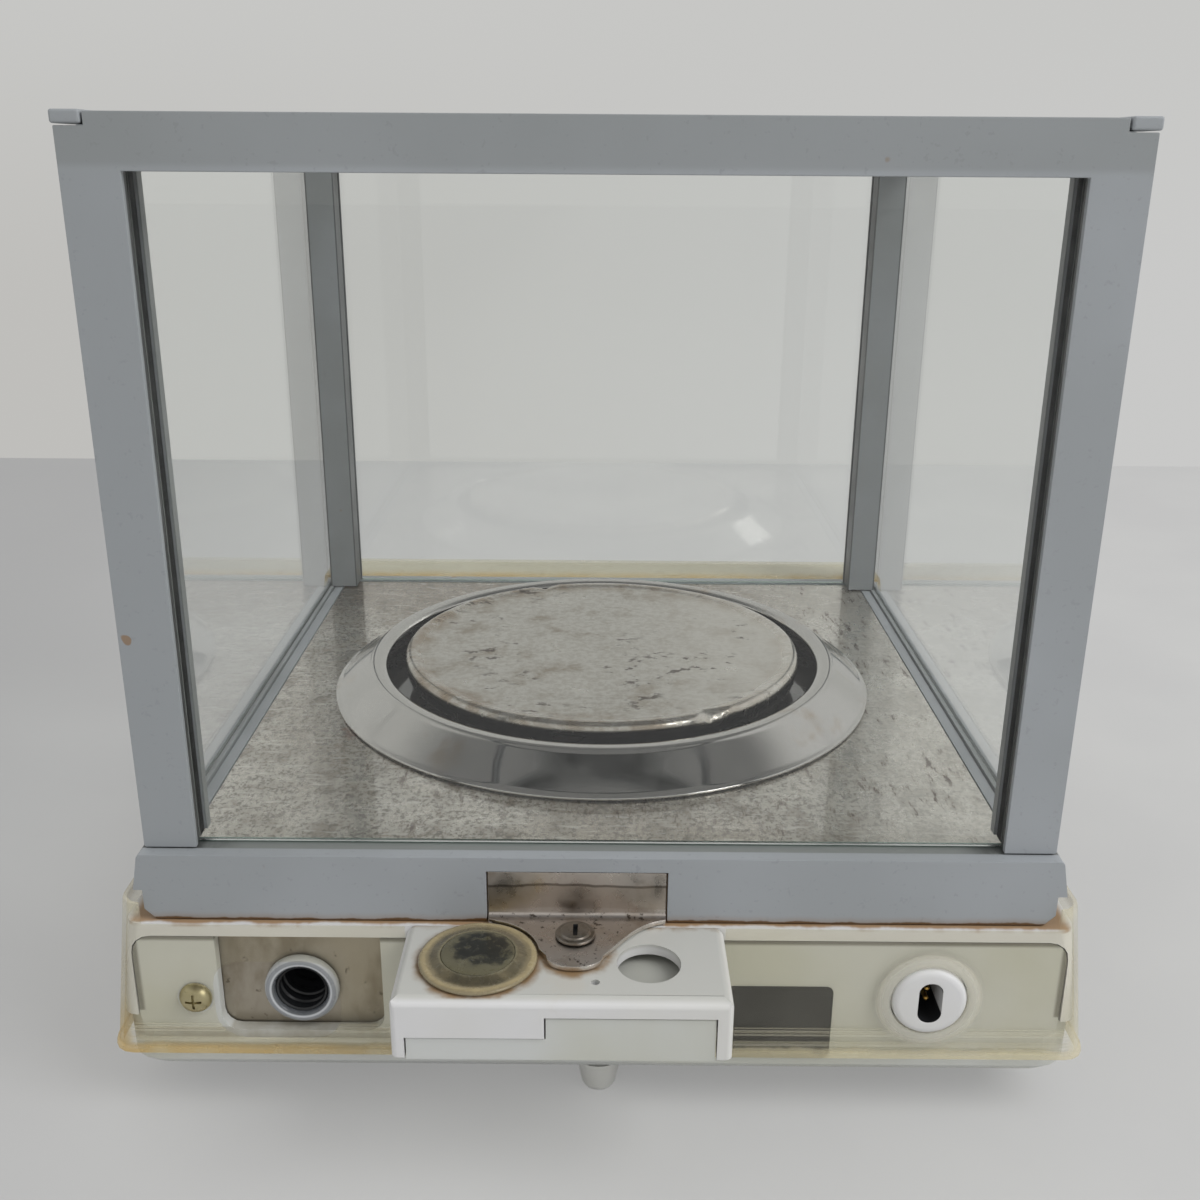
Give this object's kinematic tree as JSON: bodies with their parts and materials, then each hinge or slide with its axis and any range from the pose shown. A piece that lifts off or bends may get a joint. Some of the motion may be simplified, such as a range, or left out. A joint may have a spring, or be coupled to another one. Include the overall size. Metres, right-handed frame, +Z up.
{
  "type": "precision balance",
  "caption": "Precision balance with a glass draft shield, round steel pan inside a conical ring, level bubble and sockets at the rear.",
  "frame": {"origin": "centre of the footprint on the table", "axes": "+Z up, +Y towards the operator's side with the display, +X to the right when seen from the rear"},
  "size_m": [0.2002, 0.269, 0.1949],
  "materials": {
    "grey_paint": "satin",
    "grey_plastic": "satin",
    "white_plastic": "semi-gloss",
    "cover_film": "clear, yellowed",
    "circuit_board": "matt",
    "pale_rubber": "matt",
    "black_rubber": "matt",
    "black_plastic": "satin",
    "milky_plastic": "translucent",
    "yellowed_plastic": "translucent, yellowed",
    "zinc_steel": "dull",
    "stained_steel": "satin, stained",
    "steel": "satin, stained",
    "bright_steel": "polished",
    "aluminium": "satin",
    "contact_brass": "satin",
    "coil_copper": "enamelled",
    "clear_pane": "clear",
    "display_glass": "satin"
  },
  "bodies": {
    "chassis": {"base_tray": "grey_plastic", "upper_housing": "white_plastic", "level_shelf": "white_plastic", "protective_cover": "cover_film", "main_board": "circuit_board", "rear_foot": "pale_rubber", "case_screw_left": "zinc_steel", "case_screw_right": "zinc_steel", "display_window": "clear_pane", "display_panel": "display_glass", "display_board": "circuit_board", "lock_bracket": "stained_steel", "lock_screw": "stained_steel", "level_body": "yellowed_plastic", "level_lens": "clear_pane", "interface_plate": "stained_steel", "interface_grommet": "milky_plastic", "interface_socket": "black_plastic", "inlet_boss": "white_plastic", "inlet_pin_upper": "contact_brass", "inlet_pin_lower": "contact_brass", "panel_screw": "zinc_steel", "rating_plate": "black_plastic", "base_skirt": "grey_paint", "floor_plate": "steel", "rear_frame": "grey_paint", "rear_glass": "clear_pane", "rear_gasket": "black_rubber", "front_frame": "grey_paint", "front_glass": "clear_pane", "lower_rail_left": "aluminium", "lower_rail_right": "aluminium", "upper_rail_left": "grey_paint", "upper_rail_right": "grey_paint", "corner_cap_left": "grey_plastic", "corner_cap_right": "grey_plastic", "pan_support": "aluminium", "cell_base": "aluminium", "load_carrier": "aluminium", "cell_lever": "aluminium", "magnet_pot": "zinc_steel", "cell_coil": "coil_copper", "upper_guide": "stained_steel", "lower_guide": "stained_steel"},
    "left_door": {"left_door_glass": "clear_pane", "left_door_grip": "grey_paint"},
    "right_door": {"right_door_glass": "clear_pane", "right_door_grip": "grey_paint"},
    "top_door": {"top_door_glass": "clear_pane", "top_door_grip": "grey_paint"},
    "pan": {"weighing_pan": "steel"},
    "ring": {"draft_ring": "bright_steel"},
    "control_bar": {"control_bar": "grey_plastic"},
    "left_key": {"key_left": "grey_plastic"},
    "right_key": {"key_right": "grey_plastic"},
    "left_foot": {"foot_wheel_left": "black_plastic", "foot_pad_left": "black_rubber"},
    "right_foot": {"foot_wheel_right": "black_plastic", "foot_pad_right": "black_rubber"}
  },
  "joints": [
    {"name": "left_door_slide", "type": "slide", "parent": "chassis", "child": "left_door", "axis": [0, 1, 0], "range_m": [0, 0.11]},
    {"name": "right_door_slide", "type": "slide", "parent": "chassis", "child": "right_door", "axis": [0, 1, 0], "range_m": [0, 0.11]},
    {"name": "top_door_slide", "type": "slide", "parent": "chassis", "child": "top_door", "axis": [0, 1, 0], "range_m": [0, 0.11]},
    {"name": "pan_lift", "type": "slide", "parent": "chassis", "child": "pan", "axis": [0, 0, 1], "range_m": [0, 0.045]},
    {"name": "ring_lift", "type": "slide", "parent": "chassis", "child": "ring", "axis": [0, 0, 1], "range_m": [0, 0.045]},
    {"name": "control_bar_press", "type": "slide", "parent": "chassis", "child": "control_bar", "axis": [0, -0.5345, -0.8451], "range_m": [0, 0.001], "stiffness_N_per_m": 400, "springref_m": -0.001},
    {"name": "left_key_press", "type": "slide", "parent": "chassis", "child": "left_key", "axis": [0, -0.5345, -0.8451], "range_m": [0, 0.001], "stiffness_N_per_m": 400, "springref_m": -0.001},
    {"name": "right_key_press", "type": "slide", "parent": "chassis", "child": "right_key", "axis": [0, -0.5345, -0.8451], "range_m": [0, 0.001], "stiffness_N_per_m": 400, "springref_m": -0.001},
    {"name": "left_foot_turn", "type": "hinge", "parent": "chassis", "child": "left_foot", "pos_m": [-0.079, 0.10685, 0.005], "axis": [0, 0, 1], "range_deg": [-360, 360]},
    {"name": "right_foot_turn", "type": "hinge", "parent": "chassis", "child": "right_foot", "pos_m": [0.079, 0.10685, 0.005], "axis": [0, 0, 1], "range_deg": [-360, 360]}
  ]
}
